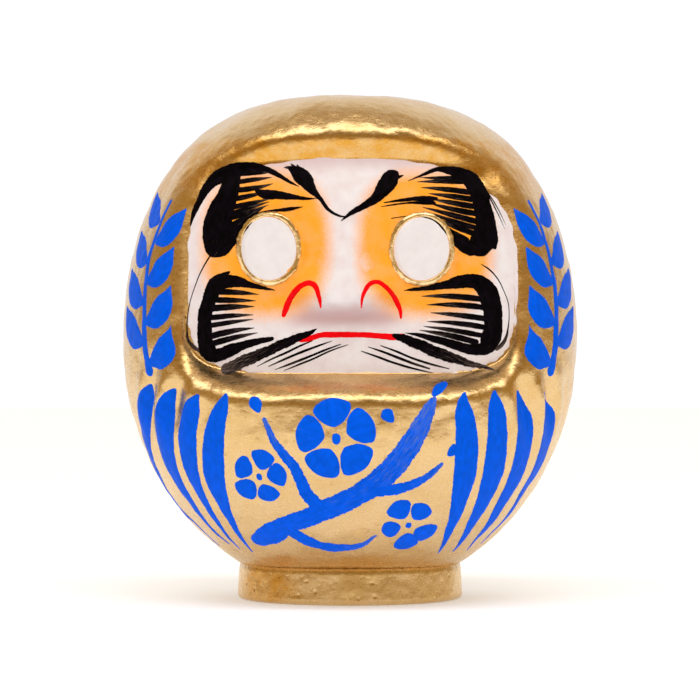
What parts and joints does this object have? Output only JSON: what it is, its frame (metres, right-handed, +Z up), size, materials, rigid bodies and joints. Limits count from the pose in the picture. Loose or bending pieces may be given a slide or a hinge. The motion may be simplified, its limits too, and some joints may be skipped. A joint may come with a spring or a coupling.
{
  "type": "daruma doll",
  "caption": "Hollow papier-mache daruma doll with a recessed face under a hood, a round robe and a short weighted foot.",
  "frame": {"origin": "middle of the foot, on the surface it stands on", "axes": "+Z up to the crown, the face looks along -Y, +X to the right of a person looking at the face"},
  "size_m": [0.212, 0.2, 0.233],
  "materials": {
    "gold_paper": "gold paint on hammered paper pulp, satin",
    "gold_foot": "gold paint on pitted paper pulp, satin",
    "strip_paper": "plain glued paper, matte",
    "clay": "dried clay, matte",
    "board": "grey-brown card, matte"
  },
  "bodies": {
    "root": {"front_shell": "gold_paper", "back_shell": "gold_paper", "left_seam_strip": "strip_paper", "right_seam_strip": "strip_paper", "crown_seam_strip": "strip_paper", "foot_ring": "gold_foot", "base_weight": "clay", "base_board": "board"}
  },
  "joints": []
}
